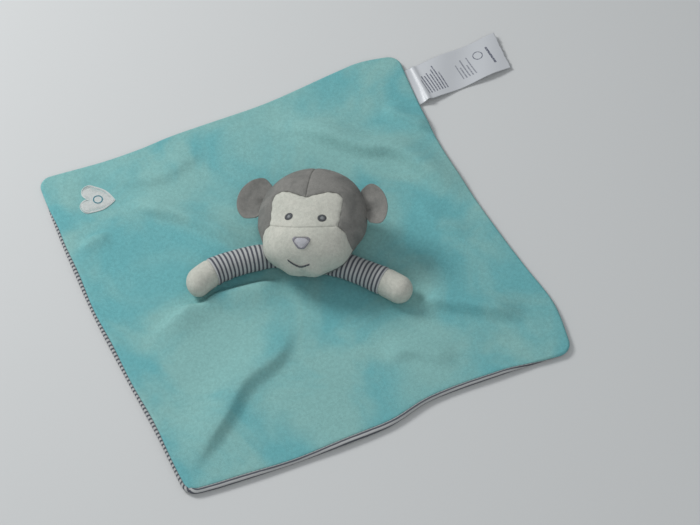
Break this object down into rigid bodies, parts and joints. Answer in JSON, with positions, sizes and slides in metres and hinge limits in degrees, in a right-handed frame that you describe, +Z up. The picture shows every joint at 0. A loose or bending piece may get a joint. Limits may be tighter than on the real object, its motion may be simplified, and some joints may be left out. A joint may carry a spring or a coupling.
{
  "type": "comforter toy",
  "caption": "Square two-layer comforter blanket with a stuffed monkey head, floppy ears and two short striped arms at its middle, and a satin label at one side.",
  "frame": {"origin": "middle of the blanket's underside, on the surface that the toy lies on", "axes": "+Z up through the cloth to the monkey's face; the blanket's sides lie along X and Y, with the label on the +X side near the +Y corner; the monkey's crown points towards the +X +Y corner, about 25 degrees from +Y"},
  "size_m": [0.383, 0.3, 0.0607],
  "materials": {
    "velour_aqua": "matte",
    "jersey_stripe": "matte",
    "velour_grey": "matte",
    "velour_cream": "matte",
    "thread_grey": "matte",
    "thread_silver": "satin",
    "thread_white": "satin",
    "thread_blue": "matte",
    "thread_dark": "matte",
    "satin_ribbon": "satin",
    "wadding": "matte"
  },
  "bodies": {
    "blanket": {"blanket_velour": "velour_aqua", "blanket_backing": "jersey_stripe", "edge_seam_thread": "thread_grey", "badge_heart": "thread_white", "badge_ring": "thread_blue", "sleeve_root_left": "jersey_stripe", "sleeve_root_right": "jersey_stripe"},
    "neck": {"neck_flange": "velour_grey"},
    "head": {"head_stuffing": "wadding", "crown_left": "velour_grey", "crown_right": "velour_grey", "head_back_left": "velour_grey", "head_back_right": "velour_grey", "face_mask": "velour_cream", "muzzle": "velour_cream", "eye_left": "thread_grey", "eye_right": "thread_grey", "eye_glint_left": "thread_silver", "eye_glint_right": "thread_silver", "nose_fill": "thread_silver", "nose_border": "thread_grey", "mouth": "thread_dark"},
    "ear_left": {"ear_left_front": "velour_grey", "ear_left_back": "velour_grey"},
    "ear_right": {"ear_right_front": "velour_grey", "ear_right_back": "velour_grey"},
    "arm_left": {"arm_stuffing_left": "wadding", "sleeve_left": "jersey_stripe", "hand_left": "velour_cream"},
    "arm_right": {"arm_stuffing_right": "wadding", "sleeve_right": "jersey_stripe", "hand_right": "velour_cream"},
    "label": {"care_label": "satin_ribbon"}
  },
  "joints": [
    {"name": "neck_swivel", "type": "hinge", "parent": "blanket", "child": "neck", "pos_m": [0, 0, 0.0034], "axis": [0, 0, 1], "range_deg": [-12, 12]},
    {"name": "head_nod", "type": "hinge", "parent": "neck", "child": "head", "pos_m": [-0.00498, -0.01092, 0.005], "axis": [0.91, -0.4147, 0], "range_deg": [0, 35]},
    {"name": "ear_left_flex", "type": "hinge", "parent": "head", "child": "ear_left", "pos_m": [-0.0093, 0.04548, 0.02732], "axis": [0.7436, 0.6065, 0.2814], "range_deg": [-25, 25], "stiffness_Nm_per_rad": 0.005},
    {"name": "ear_right_flex", "type": "hinge", "parent": "head", "child": "ear_right", "pos_m": [0.055, 0.00414, 0.04314], "axis": [-0.1697, -0.9755, -0.1403], "range_deg": [-25, 25], "stiffness_Nm_per_rad": 0.005},
    {"name": "arm_left_lift", "type": "hinge", "parent": "blanket", "child": "arm_left", "pos_m": [-0.04826, 0.01144, 0.0038], "axis": [0.0221, 0.9998, 0], "range_deg": [0, 25]},
    {"name": "arm_right_lift", "type": "hinge", "parent": "blanket", "child": "arm_right", "pos_m": [0.03663, -0.03323, 0.0038], "axis": [-0.7614, -0.6483, 0], "range_deg": [0, 25]},
    {"name": "label_flip", "type": "hinge", "parent": "blanket", "child": "label", "pos_m": [0.152, 0.118, 0.0017], "axis": [0, -1, 0], "range_deg": [0, 130]}
  ]
}
